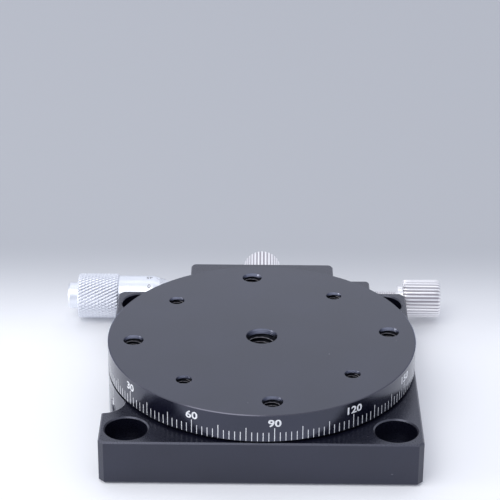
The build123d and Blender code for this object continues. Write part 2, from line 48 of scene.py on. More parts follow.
def placeCamera(s):
    e, a, roll = (math.radians(s[k]) for k in ("elevation", "azimuth", "roll"))
    back = np.array([math.sin(a) * math.cos(e), -math.cos(a) * math.cos(e), math.sin(e)])
    right = np.array([math.cos(a), math.sin(a), 0.0])
    up = np.cross(back, right)
    # the roll turns right and up about the line of sight
    rolledRight = math.cos(roll) * right + math.sin(roll) * up
    rolledUp = math.cos(roll) * up - math.sin(roll) * right
    eye = (np.array(s["target"]) + back * s["distance"]) * mm
    data = bpy.data.cameras.new("camera")
    data.sensor_width = 36.0
    data.lens = s["focalPixels"] * data.sensor_width / s["imagePixels"]
    data.clip_start = 0.01
    data.clip_end = 20.0
    camera = bpy.data.objects.new("camera", data)
    bpy.context.scene.collection.objects.link(camera)
    place = Matrix.Identity(4)
    for column, axis in enumerate((rolledRight, rolledUp, back, eye)):
        for row in range(3):
            place[row][column] = axis[row]
    camera.matrix_world = place
    bpy.context.scene.camera = camera


placeCamera(cameraSet)
bpy.context.scene.view_settings.view_transform = "Standard"


# Meshes worked out as arrays
def outward(points, faces):
    # turns every face round if the volume they enclose, summed over their triangles, comes out negative
    volume = 0.0
    for k in range(2, faces.shape[1]):
        a, b, c = points[faces[:, 0]], points[faces[:, k - 1]], points[faces[:, k]]
        volume += np.einsum("ij,ij->i", a, np.cross(b, c)).sum()
    return faces if volume >= 0 else faces[:, ::-1]


def meshFromArrays(name, points, faces, smooth=True):
    # points (n, 3) in millimetres, faces (m, 4) or (m, 3) of point numbers; edges over 40 degrees stay sharp
    faces = outward(points, faces)
    mesh = bpy.data.meshes.new(name)
    corners = faces.shape[1]
    mesh.vertices.add(len(points))
    mesh.vertices.foreach_set("co", (points * mm).astype(np.float32).ravel())
    mesh.loops.add(faces.size)
    mesh.loops.foreach_set("vertex_index", faces.astype(np.int32).ravel())
    mesh.polygons.add(len(faces))
    mesh.polygons.foreach_set("loop_start", np.arange(0, faces.size, corners, dtype=np.int32))
    mesh.polygons.foreach_set("use_smooth", np.full(len(faces), smooth))
    mesh.update(calc_edges=True)
    if smooth:
        mesh.set_sharp_from_angle(angle=math.radians(40))
    return mesh


def ringFaces(rows, columns):
    # quads of a grid that closes on itself both ways: a ring whose section is also a closed loop
    i, j = np.meshgrid(np.arange(rows), np.arange(columns), indexing="ij")
    i2, j2 = (i + 1) % rows, (j + 1) % columns
    quads = np.stack([i * columns + j, i * columns + j2, i2 * columns + j2, i2 * columns + j], axis=-1)
    return quads.reshape(-1, 4)


def boxFaces(count):
    # the six faces of each of count eight-cornered slabs; corners run inner ring then outer ring
    one = np.array([[0, 1, 2, 3], [4, 7, 6, 5], [0, 4, 5, 1], [1, 5, 6, 2], [2, 6, 7, 3], [3, 7, 4, 0]])
    return (one[None] + 8 * np.arange(count)[:, None, None]).reshape(-1, 4)


def addPiece(name, mesh, body, material, replaced=()):
    piece = bpy.data.objects.new(name, mesh)
    bpy.context.scene.collection.objects.link(piece)
    piece.data.materials.append(material)
    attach(piece, body)
    if replaced:
        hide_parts(*replaced)
    return piece


def triangleWave(turns):
    # 0 at whole turns, 1 half way between them, straight in between
    return 1 - np.abs(2 * (turns - np.floor(turns)) - 1)


def alongX(radius, angle, x, line):
    # a turned surface about a line parallel to X: angle 0 points to +Z and grows towards -Y
    return np.stack([x, line[0] - radius * np.sin(angle), line[1] + radius * np.cos(angle)], axis=-1)


def alongY(radius, angle, y, line):
    # the same about a line parallel to Y, seen from the rear
    return np.stack([line[0] - radius * np.sin(angle), y, line[1] + radius * np.cos(angle)], axis=-1)


# Materials
def newFinish(name, **sockets):
    material = bpy.data.materials.new(name)
    material.use_nodes = True
    shader = material.node_tree.nodes["Principled BSDF"]
    for socket, value in sockets.items():
        shader.inputs[socket.replace("_", " ")].default_value = value
    return material, material.node_tree, shader


def node(tree, kind, **values):
    made = tree.nodes.new(kind)
    for key, value in values.items():
        setattr(made, key, value)
    return made


def mathOf(tree, operation, a, b=None, clamp=False):
    made = node(tree, "ShaderNodeMath", operation=operation, use_clamp=clamp)
    for socket, value in zip(made.inputs, (a, b)):
        if isinstance(value, (int, float)):
            socket.default_value = value
        elif value is not None:
            tree.links.new(value, socket)
    return made.outputs[0]


def noise(tree, scale, detail=2.0, vector=None, lines=None):
    # lines gives a number to run the noise along, for turned or brushed marks
    made = node(tree, "ShaderNodeTexNoise", noise_dimensions="1D" if lines is not None else "3D")
    made.inputs["Scale"].default_value = scale
    made.inputs["Detail"].default_value = detail
    if lines is not None:
        tree.links.new(lines, made.inputs["W"])
    else:
        tree.links.new(vector or coordinates(tree), made.inputs["Vector"])
    return made.outputs["Fac"]


def coordinates(tree):
    for made in tree.nodes:
        if made.bl_idname == "ShaderNodeTexCoord":
            return made.outputs["Object"]
    return node(tree, "ShaderNodeTexCoord").outputs["Object"]


def rampOf(tree, value, low, high, colourLow, colourHigh):
    ramp = node(tree, "ShaderNodeValToRGB")
    ramp.color_ramp.elements[0].position, ramp.color_ramp.elements[1].position = low, high
    ramp.color_ramp.elements[0].color = (*colourLow, 1)
    ramp.color_ramp.elements[1].color = (*colourHigh, 1)
    tree.links.new(value, ramp.inputs["Fac"])
    return ramp.outputs["Color"]


def blendColour(tree, share, a, b):
    mix = node(tree, "ShaderNodeMix", data_type="RGBA")
    tree.links.new(share, mix.inputs["Factor"])
    for socket, value in ((mix.inputs[6], a), (mix.inputs[7], b)):
        if isinstance(value, tuple):
            socket.default_value = (*value, 1)
        else:
            tree.links.new(value, socket)
    return mix.outputs[2]


def rangeOf(tree, value, low, high, toLow, toHigh):
    made = node(tree, "ShaderNodeMapRange")
    for socket, number in zip(made.inputs[1:5], (low, high, toLow, toHigh)):
        socket.default_value = number
    tree.links.new(value, made.inputs[0])
    return made.outputs[0]


def bumpFrom(tree, shader, height, strength, distance):
    bump = node(tree, "ShaderNodeBump")
    bump.inputs["Strength"].default_value = strength
    bump.inputs["Distance"].default_value = distance * mm
    tree.links.new(height, bump.inputs["Height"])
    tree.links.new(bump.outputs["Normal"], shader.inputs["Normal"])


def leanMask(tree, rise):
    # 1 on faces whose normal has about this height, 0 on the others: 0.707 is a chamfer
    normal = node(tree, "ShaderNodeSeparateXYZ")
    tree.links.new(node(tree, "ShaderNodeNewGeometry").outputs["Normal"], normal.inputs[0])
    lean = mathOf(tree, "ABSOLUTE", normal.outputs["Z"])
    off = mathOf(tree, "ABSOLUTE", mathOf(tree, "SUBTRACT", lean, rise))
    return rangeOf(tree, off, 0.02, 0.12, 1.0, 0.0)


def speckMask(tree, cell, size, share):
    # small dots, one in a few of the cells of a Voronoi pattern
    cells = node(tree, "ShaderNodeTexVoronoi")
    cells.inputs["Scale"].default_value = 1 / (cell * mm)
    tree.links.new(coordinates(tree), cells.inputs["Vector"])
    dot = rangeOf(tree, cells.outputs["Distance"], size * 0.6, size, 1.0, 0.0)
    tone = node(tree, "ShaderNodeSeparateColor")
    tree.links.new(cells.outputs["Color"], tone.inputs[0])
    return mathOf(tree, "MULTIPLY", dot, mathOf(tree, "GREATER_THAN", tone.outputs[0], 1 - share))


def turnedLines(tree, axis):
    # how far a point is from the turning axis, plus its height along it, so one noise marks faces and sides
    place = node(tree, "ShaderNodeSeparateXYZ")
    tree.links.new(coordinates(tree), place.inputs[0])
    if axis == "x":
        return place.outputs["X"]
    if axis == "y":
        return place.outputs["Y"]
    flat = mathOf(tree, "SQRT", mathOf(tree, "ADD", mathOf(tree, "POWER", place.outputs["X"], 2.0),
                                     mathOf(tree, "POWER", place.outputs["Y"], 2.0)))
    return mathOf(tree, "ADD", flat, mathOf(tree, "MULTIPLY", place.outputs["Z"], 1.7))


anodisedSet = {"dark": (0.0030, 0.0032, 0.0080), "light": (0.0060, 0.0064, 0.0145), "patch": 90,
               # edge: the chamfers' tone, lighter partly as cut metal and partly as a painted highlight line
               "edge": (0.05, 0.05, 0.062), "edgeHighlightShare": 0.75,
               "dust": (0.45, 0.45, 0.47), "dustCell": 2.2, "dustSize": 0.035, "dustShare": 0.18,
               "grain": 6500, "rings": 9000, "bump": 0.25, "bumpHeight": 0.012,
               "roughLow": 0.24, "roughHigh": 0.33, "tint": (0.80, 0.83, 1.0, 1.0), "ior": 1.65}
# the dial's chamfer tone is set lighter still, a painted highlight line round its edges
turnedSet = dict(anodisedSet, edge=(0.095, 0.095, 0.115), edgeHighlightShare=1.0, roughLow=0.15, roughHigh=0.24,
                 tint=(0.76, 0.80, 1.0, 1.0), ior=1.67)
# threads: painted shade, a tone darker than the dial's anodising inside the holes, and a painted highlight on
# their crests
threadSet = dict(anodisedSet, dark=(0.001, 0.001, 0.002), light=(0.003, 0.003, 0.005), crestHighlight=(0.34, 0.33, 0.35),
                 roughLow=0.30, roughHigh=0.40, ior=1.2)


def anodisedFinish(name, s, turned=False):
    # dyed aluminium: faint cloudy tone, bead-blasted grain or turned rings, chamfers lighter, partly as cut
    # metal and partly as a painted highlight line, a little dust
    material, tree, shader = newFinish(name, Metallic=0.0, IOR=s["ior"], Specular_Tint=s["tint"])
    tone = rampOf(tree, noise(tree, s["patch"], 3.0), 0.35, 0.65, s["dark"], s["light"])
    cut = leanMask(tree, 0.707)
    # painted highlight: chamfer faces take the lighter edge tone
    toneWithPaintedHighlights = blendColour(tree, mathOf(tree, "MULTIPLY", cut, s["edgeHighlightShare"]), tone, s["edge"])
    if turned:
        tree.links.new(cut, shader.inputs["Metallic"])  # the dial's edge is cut to bare metal
    # painted highlight: thread crests take the lighter crest tone
    if "crestHighlight" in s:
        crestHighlight = node(tree, "ShaderNodeAttribute", attribute_name="groove")
        toneWithPaintedHighlights = blendColour(tree, crestHighlight.outputs["Fac"], tone, s["crestHighlight"])
    specks = speckMask(tree, s["dustCell"], s["dustSize"], s["dustShare"])
    dusted = blendColour(tree, specks, toneWithPaintedHighlights, s["dust"])
    tree.links.new(dusted, shader.inputs["Base Color"])
    grain = noise(tree, s["grain"], 2.0)
    if turned:
        grain = mathOf(tree, "ADD", mathOf(tree, "MULTIPLY", grain, 0.5),
                      noise(tree, s["rings"], 2.0, lines=turnedLines(tree, "z")))
    rough = rangeOf(tree, grain, 0.3, 1.1 if turned else 0.7, s["roughLow"], s["roughHigh"])
    tree.links.new(rough, shader.inputs["Roughness"])
    bumpFrom(tree, shader, grain, s["bump"], s["bumpHeight"])
    return material


blackAnodised = anodisedFinish("blackAnodised", anodisedSet)
dialAnodised = anodisedFinish("dialAnodised", turnedSet, turned=True)
threadAnodised = anodisedFinish("threadAnodised", threadSet)

metalSets = {
    "satinChrome": {"dark": (0.75, 0.77, 0.81), "light": (0.80, 0.82, 0.86), "rough": (0.36, 0.46),
                    "axis": "x", "lines": 5200, "bump": 0.1},
    "nickelPlate": {"dark": (0.86, 0.85, 0.85), "light": (0.89, 0.88, 0.88), "rough": (0.28, 0.36),
                    "axis": None, "lines": 9000, "bump": 0.05},
    "blackOxide": {"dark": (0.010, 0.010, 0.013), "light": (0.022, 0.022, 0.026), "rough": (0.22, 0.34),
                   "axis": None, "lines": 5200, "bump": 0.2, "metallic": 0.0, "ior": 1.9},
    "groundSteel": {"dark": (0.50, 0.50, 0.52), "light": (0.62, 0.62, 0.64), "rough": (0.16, 0.26),
                    "axis": "z", "lines": 7000, "bump": 0.15},
    "springSteel": {"dark": (0.10, 0.10, 0.115), "light": (0.20, 0.20, 0.22), "rough": (0.28, 0.42),
                    "axis": None, "lines": 4200, "bump": 0.2},
    "spindleSteel": {"dark": (0.52, 0.52, 0.54), "light": (0.64, 0.64, 0.66), "rough": (0.14, 0.24),
                     "axis": "x", "lines": 8000, "bump": 0.12},
    "turnedBrass": {"dark": (0.62, 0.44, 0.17), "light": (0.74, 0.56, 0.26), "rough": (0.24, 0.38),
                    "axis": "y", "lines": 6000, "bump": 0.2},
    "lappedBronze": {"dark": (0.42, 0.26, 0.12), "light": (0.54, 0.36, 0.19), "rough": (0.32, 0.46),
                     "axis": "z", "lines": 5200, "bump": 0.2},
    # painted highlight: the holes' lead-ins get a lighter lavender metal tone than the anodising round them
    "mouthPaintedHighlight": {"dark": (0.15, 0.16, 0.20), "light": (0.33, 0.34, 0.41), "rough": (0.16, 0.28),
                 "axis": "z", "lines": 7000, "bump": 0.4},
}


def metalFinish(name, s, paintedGrooveShade=None):
    # bare or plated metal: two close tones, machining lines in roughness and bump, painted shade in its grooves
    material, tree, shader = newFinish(name, Metallic=s.get("metallic", 1.0), IOR=s.get("ior", 1.5))
    if s["axis"]:
        marks = noise(tree, s["lines"], 3.0, lines=turnedLines(tree, s["axis"]))
    else:
        marks = noise(tree, s["lines"], 3.0)
    cloudy = noise(tree, 260, 3.0)
    tone = rampOf(tree, mathOf(tree, "MULTIPLY", mathOf(tree, "ADD", marks, cloudy), 0.5),
                  0.36, 0.64, s["dark"], s["light"])
    if paintedGrooveShade:
        groove = node(tree, "ShaderNodeAttribute", attribute_name="groove")
        tone = blendColour(tree, groove.outputs["Fac"], tone, paintedGrooveShade)
    tree.links.new(tone, shader.inputs["Base Color"])
    tree.links.new(rangeOf(tree, marks, 0.3, 0.7, *s["rough"]), shader.inputs["Roughness"])
    bumpFrom(tree, shader, marks, s["bump"], 0.006)
    return material


metals = {name: metalFinish(name, s) for name, s in metalSets.items()}
# painted shade: the knurled finishes are darker where the groove attribute is high
knurledChrome = metalFinish("knurledChrome", metalSets["satinChrome"], paintedGrooveShade=(0.56, 0.57, 0.63))
knurledNickel = metalFinish("knurledNickel", metalSets["nickelPlate"], paintedGrooveShade=(0.36, 0.33, 0.36))

paintSet = {"dark": (0.74, 0.75, 0.77), "light": (0.90, 0.91, 0.93), "patch": 2400, "grain": 5000,
            "rough": (0.45, 0.65), "chalk": 9000}
inkSet = dict(paintSet, dark=(0.16, 0.16, 0.17), light=(0.30, 0.30, 0.32))


def fillFinish(name, s):
    # paint rubbed into engraving: chalky, a little uneven from line to line
    material, tree, shader = newFinish(name, IOR=1.45)
    tree.links.new(rampOf(tree, noise(tree, s["patch"], 3.0), 0.3, 0.6, s["dark"], s["light"]),
                   shader.inputs["Base Color"])
    tree.links.new(rangeOf(tree, noise(tree, s["grain"], 2.0), 0.3, 0.7, *s["rough"]),
                   shader.inputs["Roughness"])
    bumpFrom(tree, shader, noise(tree, s["chalk"], 2.0), 0.2, 0.004)
    return material


whiteFill = fillFinish("whiteFill", paintSet)
blackFill = fillFinish("blackFill", inkSet)

finishOfNode = {
    "base_plate": blackAnodised, "micrometer_holder": blackAnodised, "lock_bracket": blackAnodised,
    "tangent_arm": blackAnodised, "vernier_plate": dialAnodised, "top_disc": dialAnodised,
    "vernier_screws": metals["blackOxide"], "bearing_clamp_screws": metals["blackOxide"],
    "stem_set_screw": metals["blackOxide"], "holder_screws": metals["blackOxide"],
    "bracket_screws": metals["blackOxide"], "hub_circlip": metals["springSteel"],
    "bearing_inner_ring": metals["groundSteel"], "bearing_outer_ring": metals["groundSteel"],
    "bearing_rollers": metals["groundSteel"], "bearing_clamp_plate": metals["groundSteel"],
    "strike_pins": metals["spindleSteel"], "micrometer_spindle": metals["spindleSteel"],
    "lower_washer": metals["lappedBronze"], "upper_washer": metals["lappedBronze"],
    "clamp_shoe": metals["turnedBrass"], "lock_tip": metals["turnedBrass"],
    "micrometer_sleeve": metals["satinChrome"], "micrometer_end_cap": metals["satinChrome"],
}
for name, material in finishOfNode.items():
    if name in nodes:
        nodes[name].data.materials.clear()
        nodes[name].data.materials.append(material)
print("materials assigned to", len(finishOfNode), "nodes")


# Engraved lines and numbers on a turned side
def sideMarks(angles, widths, lows, highs, radius, proud, sunk):
    # slabs on a cylinder about Z: each spans its width in angle, low to high in z, and stands a hair proud
    half = widths / radius / 2
    corners = []
    for r in (radius - sunk, radius + proud):
        for side, height in ((-1, lows), (-1, highs), (1, highs), (1, lows)):
            a = angles + side * half
            corners.append(np.stack([r * np.cos(a), r * np.sin(a), height], axis=-1))
    return np.stack(corners, axis=1).reshape(-1, 3), boxFaces(len(angles))


def glyphMesh(text, height, weight, depth):
    # the outline of a number as a closed slab in its own plane, centred on x, standing on y = 0
    curve = bpy.data.curves.new("glyph", "FONT")
    curve.body = text
    curve.size = height / 0.73
    curve.offset = weight
    curve.extrude = depth / 2
    curve.align_x = "CENTER"
    curve.resolution_u = 3
    shown = bpy.data.objects.new("glyph", curve)
    bpy.context.scene.collection.objects.link(shown)
    bpy.context.view_layer.update()
    mesh = bpy.data.meshes.new_from_object(shown.evaluated_get(bpy.context.evaluated_depsgraph_get()))
    points = np.empty(len(mesh.vertices) * 3)
    mesh.vertices.foreach_get("co", points)
    mesh.calc_loop_triangles()
    faces = np.empty(len(mesh.loop_triangles) * 3, dtype=np.int32)
    mesh.loop_triangles.foreach_get("vertices", faces)
    bpy.data.objects.remove(shown)
    bpy.data.meshes.remove(mesh)
    bpy.data.curves.remove(curve)
    # corners that lie on each other become one, so that the slab is closed
    points = points.reshape(-1, 3)
    rounded, first = np.unique(np.round(points, 5), axis=0, return_inverse=True)
    faces = first.reshape(-1)[faces.reshape(-1, 3)]
    faces = faces[(faces[:, 0] != faces[:, 1]) & (faces[:, 1] != faces[:, 2]) & (faces[:, 0] != faces[:, 2])]
    return rounded, faces


def wrapOnSide(points, angle, base, radius):
    # a flat slab bent round a cylinder about Z: x becomes arc length, y height, thickness radius
    a = angle + points[:, 0] / radius
    r = radius + points[:, 2]
    return np.stack([r * np.cos(a), r * np.sin(a), base + points[:, 1]], axis=-1)


def joinMeshes(parts):
    # many (points, triangles) pairs as one
    starts = np.cumsum([0] + [len(p) for p, _ in parts[:-1]])
    return np.concatenate([p for p, _ in parts]), np.concatenate([f + s for (_, f), s in zip(parts, starts)])


dialSet = {"radius": 30.0, "zero": 184.7, "step": 2, "width": 0.135, "low": 9.56, "short": 1.8, "long": 2.75,
           "proud": 0.012, "sunk": 0.06, "numberStep": 30, "numberHeight": 1.5, "numberBase": 12.62,
           "numberWeight": 0.045, "numberStretch": 1.22}
degrees = np.arange(0, 360, dialSet["step"])
dialAngles = np.radians(dialSet["zero"] + degrees)
dialHighs = dialSet["low"] + np.where(degrees % 10 == 0, dialSet["long"], dialSet["short"])
points, faces = sideMarks(dialAngles, np.full(len(degrees), dialSet["width"]),
                          np.full(len(degrees), dialSet["low"]), dialHighs,
                          dialSet["radius"], dialSet["proud"], dialSet["sunk"])
addPiece("dial_divisions", meshFromArrays("dial_divisions", points, faces, smooth=False),
         "turntable", whiteFill)

numbers = []
for value in range(0, 360, dialSet["numberStep"]):
    flat, triangles = glyphMesh(str(value), dialSet["numberHeight"], dialSet["numberWeight"], 0.06)
    flat[:, 0] *= dialSet["numberStretch"]
    flat[:, 2] -= 0.03 - dialSet["proud"]
    numbers.append((wrapOnSide(flat, math.radians(dialSet["zero"] + value), dialSet["numberBase"],
                               dialSet["radius"]), triangles))
points, faces = joinMeshes(numbers)
addPiece("dial_numbers", meshFromArrays("dial_numbers", points, faces, smooth=False),
         "turntable", whiteFill)
print("dial engraved:", len(degrees), "divisions,", len(numbers), "numbers")

# Vernier: ten divisions a side over nine of the dial's, so one division is read to a fifth of a degree
vernierSet = {"radius": 30.0, "centre": 180.0, "pitch": 1.8, "perSide": 10, "width": 0.17, "high": 8.92,
              "short": 1.5, "long": 2.3, "proud": 0.012, "sunk": 0.06, "numberHeight": 1.3, "numberBase": 4.9,
              "numberWeight": 0.03}
counts = np.arange(-vernierSet["perSide"], vernierSet["perSide"] + 1)
vernierAngles = np.radians(vernierSet["centre"] + counts * vernierSet["pitch"])
vernierLows = vernierSet["high"] - np.where(counts % 5 == 0, vernierSet["long"], vernierSet["short"])
points, faces = sideMarks(vernierAngles, np.full(len(counts), vernierSet["width"]), vernierLows,
                          np.full(len(counts), vernierSet["high"]), vernierSet["radius"],
                          vernierSet["proud"], vernierSet["sunk"])
addPiece("vernier_divisions", meshFromArrays("vernier_divisions", points, faces, smooth=False),
         "base", whiteFill)
numbers = []
for count in range(-10, 11, 5):
    flat, triangles = glyphMesh(str(abs(count) // 5), vernierSet["numberHeight"],
                                vernierSet["numberWeight"], 0.06)
    flat[:, 2] -= 0.03 - vernierSet["proud"]
    numbers.append((wrapOnSide(flat, math.radians(vernierSet["centre"] + count * vernierSet["pitch"]),
                               vernierSet["numberBase"], vernierSet["radius"]), triangles))
points, faces = joinMeshes(numbers)
addPiece("vernier_numbers", meshFromArrays("vernier_numbers", points, faces, smooth=False),
         "base", whiteFill)


# Threads cut in the turntable's holes
def threadLiner(centre, s):
    # inside wall: radius falls from the bore to the crest as a triangle wave of height / pitch minus angle;
    # the outer wall is plain and lies just inside the metal, so the liner is a closed ring
    perTurn, perPitch, bottom, top = s["around"], s["perPitch"], s["bottom"], s["top"] - s["coneDepth"]
    rows = int((top - bottom) / s["pitch"] * perPitch)
    angle = np.linspace(0, 2 * np.pi, perTurn, endpoint=False)
    height = np.linspace(bottom, top, rows)
    a, z = np.meshgrid(angle, height, indexing="ij")
    fade = np.clip(np.minimum((top - z) / s["pitch"] * 6 - 1.2, (z - bottom) / s["pitch"] * 2.5), 0, 1)
    wave = np.clip(triangleWave(z / s["pitch"] - a / (2 * np.pi) + s["phase"]) * 1.3 - 0.1, 0, 1)
    inner = s["radius"] - 0.01 - s["depth"] * wave * fade
    # painted highlight: 1 along the crest line, where the material lightens the thread
    crestHighlight = np.where(wave * fade > 0.97, 1.0, 0.0)
    outer = np.full((perTurn, 2), s["radius"] + 0.03)
    r = np.concatenate([inner, outer], axis=1)
    z = np.concatenate([z, np.tile([top, bottom], (perTurn, 1))], axis=1)
    a = np.concatenate([a, a[:, :2]], axis=1)
    crestHighlight = np.concatenate([crestHighlight, np.zeros((perTurn, 2))], axis=1)
    points = np.stack([centre[0] + r * np.cos(a), centre[1] + r * np.sin(a), z], axis=-1)
    return points.reshape(-1, 3), ringFaces(perTurn, rows + 2), crestHighlight.ravel()


def turnedRing(centre, section, around):
    # a ring about a line parallel to Z: section is its closed outline as (radius, height) corners
    section = np.array(section, dtype=float)
    a, r = np.meshgrid(np.linspace(0, 2 * np.pi, around, endpoint=False), section[:, 0], indexing="ij")
    z = np.broadcast_to(section[:, 1], r.shape)
    points = np.stack([centre[0] + r * np.cos(a), centre[1] + r * np.sin(a), z], axis=-1)
    return points.reshape(-1, 3), ringFaces(around, len(section))


def markGrooves(mesh, shade):
    # how deep in a knurl or how near a thread's crest each point is, from 0 to 1, for the material: painted
    # shade in knurl and thread grooves, a painted highlight on thread crests
    attribute = mesh.attributes.new("groove", "FLOAT", "POINT")
    values = np.zeros(len(mesh.vertices), dtype=np.float32)
    values[:shade.size] = shade.ravel()
    attribute.data.foreach_set("value", values)


# mouth is how far the lead-in stands out past the bore at the top, cone how far it goes in at its foot;
# phase moves the thread's start round the hole, in turns
threadSets = {
    "centre_thread": {"radius": 3.0, "pitch": 1.0, "depth": 0.5, "circle": 0.0, "start": 0.0, "holes": 1,
                      "around": 96, "perPitch": 14, "mouth": 0.07, "cone": 0.23, "coneDepth": 0.95,
                      "phase": 0.43},
    "outer_threads": {"radius": 2.0, "pitch": 0.7, "depth": 0.36, "circle": 25.0, "start": 4.7, "holes": 4,
                      "around": 64, "perPitch": 12, "mouth": -0.03, "cone": 0.24, "coneDepth": 0.62,
                      "phase": 0.0},
    "inner_threads": {"radius": 1.5, "pitch": 0.5, "depth": 0.26, "circle": 22.5, "start": 49.7, "holes": 4,
                      "around": 56, "perPitch": 10, "mouth": 0.04, "cone": 0.12, "coneDepth": 0.50,
                      "phase": 0.0},
}
# heights of all holes, and how thick a flat is and how far it reaches out round a hole
holeSet = {"bottom": 9.34, "top": 14.9985, "flat": 0.06, "reach": 0.30}
flats, mouths = [], []
for name, s in threadSets.items():
    s.update(holeSet)
    bore, top, foot = s["radius"], s["top"], s["top"] - s["coneDepth"]
    threads, crestHighlights = [], []
    for index in range(s["holes"]):
        at = math.radians(s["start"] + index * 90)
        centre = (s["circle"] * math.cos(at), s["circle"] * math.sin(at))
        points, faces, crestHighlight = threadLiner(centre, s)
        threads.append((points, faces))
        crestHighlights.append(crestHighlight)
        edge, out, under = bore + s["mouth"], bore + s["reach"], top - s["flat"]
        flats.append(turnedRing(centre, [(edge, top), (edge, under), (out, under), (out, top)], s["around"]))
        mouths.append(turnedRing(centre, [(edge, top - 0.001), (bore - s["cone"], foot),
                                          (bore + 0.02, foot - 0.01), (out, foot), (out, top - 0.05)],
                                 s["around"]))
    points, faces = joinMeshes(threads)
    mesh = meshFromArrays(name + "_cut", points, faces)
    markGrooves(mesh, np.concatenate(crestHighlights))
    addPiece(name + "_cut", mesh, "turntable", threadAnodised)
addPiece("hole_flats", meshFromArrays("hole_flats", *joinMeshes(flats)), "turntable", dialAnodised)
addPiece("hole_mouths", meshFromArrays("hole_mouths", *joinMeshes(mouths)), "turntable", metals["mouthPaintedHighlight"])
print("threads cut in", len(flats), "holes")


# Thumb screws: threaded shank, collar, head with straight ribs and rounded ends
thumbSet = {"thread": 1.5, "threadDepth": 0.3, "pitch": 0.5, "perPitch": 7, "point": 0.45, "pointLength": 0.4,
            "collar": 2.55, "collarLength": 1.0, "lip": 0.08, "head": 4.0, "headLength": 8.0, "round": 0.75,
            "dish": 0.5, "ribs": 32, "ribDepth": 0.24, "perRib": 10}


def thumbScrew(s, shank):
    # radius against length from the tip, as rows of (length, radius, how much rib, how much thread)
    tip = [(0, 0.001, 0, 0), (0, s["thread"] - s["point"], 0, 0),
           (s["pointLength"], s["thread"] - 0.05, 0, 0.6)]
    rows = int(shank / s["pitch"] * s["perPitch"])
    thread = [(x, s["thread"], 0, 1) for x in np.linspace(0.5, shank - 0.35, rows)]
    neck = [(shank - 0.3, s["thread"] - s["threadDepth"], 0, 0), (shank, s["thread"] - s["threadDepth"], 0, 0)]
    lip = s["lip"]
    c0, c1, c = shank, shank + s["collarLength"], s["collar"]
    collar = [(c0, c - lip, 0, 0), (c0 + lip, c, 0, 0), (c1 - 0.02, c, 0, 0), (c1, c, 0, 0)]
    q = s["round"]
    quarter = np.linspace(0, np.pi / 2, 7)
    front = [(c1 + q * (1 - math.sin(t)), s["head"] - q * (1 - math.cos(t)), math.cos(t), 0)
             for t in quarter[::-1]]
    middle = [(x, s["head"], 1, 0) for x in np.linspace(c1 + q, c1 + s["headLength"] - q, 9)[1:-1]]
    back = [(c1 + s["headLength"] - q * (1 - math.sin(t)), s["head"] - q * (1 - math.cos(t)), math.cos(t), 0)
            for t in quarter]
    end = c1 + s["headLength"]
    dish = [(end, s["head"] - q - s["dish"], 0, 0), (end, 0.001, 0, 0)]
    rows = np.array(tip + thread + neck + collar + front + middle + back + dish, dtype=float)
    around = s["ribs"] * s["perRib"]
    angle = np.linspace(0, 2 * np.pi, around, endpoint=False)
    a, length = np.meshgrid(angle, rows[:, 0], indexing="xy")
    turns = a / (2 * np.pi)
    # ribs: flat-topped waves round the head; thread: a triangle wave that climbs one pitch a turn
    groove = np.clip(2.2 * triangleWave(turns * s["ribs"]) - 0.85, 0, 1) * rows[:, 2][:, None]
    thread = triangleWave(length / s["pitch"] - turns) * rows[:, 3][:, None]
    radius = rows[:, 1][:, None] - s["ribDepth"] * groove - s["threadDepth"] * thread
    # painted shade: how dark the material paints the rib and thread grooves
    shade = np.maximum(groove, 0.55 * thread)
    return np.maximum(radius, 0.0005), a, length, shade


def closedTurning(place, radius, angle, length, line):
    # rows of rings, closed at both ends by a fan to a point on the axis
    rings, around = radius.shape
    points = place(radius, angle, length, line).reshape(-1, 3)
    i, j = np.meshgrid(np.arange(rings - 1), np.arange(around), indexing="ij")
    j2 = (j + 1) % around
    quads = np.stack([i * around + j, (i + 1) * around + j, (i + 1) * around + j2, i * around + j2], axis=-1)
    quads = quads.reshape(-1, 4)
    ring = np.arange(around)
    after = (ring + 1) % around
    last = (rings - 1) * around
    tip = np.full(around, len(points))
    ends = np.concatenate([np.stack([ring, after, tip], -1),
                           np.stack([last + after, last + ring, tip + 1], -1)])
    zero = np.zeros((1, 1))
    tips = np.concatenate([place(zero, zero, length[:1, :1], line), place(zero, zero, length[-1:, :1], line)])
    points = np.concatenate([points, tips.reshape(-1, 3)])
    triangles = np.concatenate([quads[:, [0, 1, 2]], quads[:, [0, 2, 3]], ends])
    return points, triangles


# Screws of the vernier plate: low heads with a hexagon socket, turned flush with the plate's round side
headSet = {"curve": 30.0, "line": (9.0, 3.6), "head": 1.88, "socket": 0.72, "socketDepth": 0.85, "under": 0.02,
           "bevel": 0.07, "seat": 2.6, "shank": 1.0, "end": 7.1, "around": 60}


def inPlate(radius, angle, depth, line):
    # a turning about a line parallel to X; depth is from the round side at a head's top, where the side lies
    # the root of radius squared less y squared out, and from its foremost point further down
    y, z = line[0] - radius * np.sin(angle), line[1] + radius * np.cos(angle)
    side = np.where(depth < 1.0, np.sqrt(headSet["curve"] ** 2 - y ** 2), headSet["curve"])
    return np.stack([depth - side, y, z], axis=-1)


